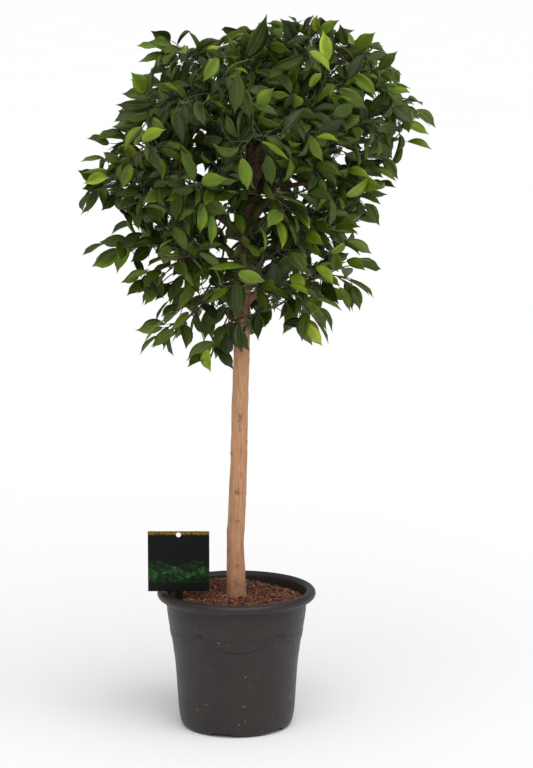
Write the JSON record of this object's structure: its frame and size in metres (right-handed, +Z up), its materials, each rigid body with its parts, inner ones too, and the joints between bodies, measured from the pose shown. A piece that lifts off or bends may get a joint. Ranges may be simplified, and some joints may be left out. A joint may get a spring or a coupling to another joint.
{
  "type": "potted chinese banyan",
  "caption": "Small standard tree with a bare trunk and a round leafy head, growing in a round rimmed plastic pot with soil and a plain card label.",
  "frame": {"origin": "middle of the pot's underside, on its central foot pad", "axes": "+Z up along the trunk, -Y towards the front, +X to the right as seen from the front"},
  "size_m": [0.5851, 0.48, 1.153],
  "materials": {
    "pot": "satin",
    "soil": "matte",
    "bark": "matte",
    "leaf": "satin",
    "label": "satin"
  },
  "bodies": {
    "root": {"pot": "pot", "soil": "soil", "wood": "bark", "label": "label", "fallen_leaf": "leaf", "spray_01": "leaf", "spray_02": "leaf", "spray_03": "leaf", "spray_04": "leaf", "spray_05": "leaf", "spray_06": "leaf", "spray_07": "leaf", "spray_08": "leaf", "spray_09": "leaf", "spray_10": "leaf", "spray_11": "leaf", "spray_12": "leaf", "spray_13": "leaf", "spray_14": "leaf", "spray_15": "leaf", "spray_16": "leaf", "spray_17": "leaf", "spray_18": "leaf", "spray_19": "leaf", "spray_20": "leaf", "spray_21": "leaf", "spray_22": "leaf", "spray_23": "leaf", "spray_24": "leaf", "spray_25": "leaf", "spray_26": "leaf", "spray_27": "leaf", "spray_28": "leaf", "spray_29": "leaf", "spray_30": "leaf", "spray_31": "leaf", "spray_32": "leaf", "spray_33": "leaf", "spray_34": "leaf", "spray_35": "leaf", "spray_36": "leaf", "spray_37": "leaf", "spray_38": "leaf", "spray_39": "leaf", "spray_40": "leaf", "spray_41": "leaf", "spray_42": "leaf", "spray_43": "leaf", "spray_44": "leaf", "spray_45": "leaf", "spray_46": "leaf", "spray_47": "leaf", "spray_48": "leaf", "spray_49": "leaf"}
  },
  "joints": []
}
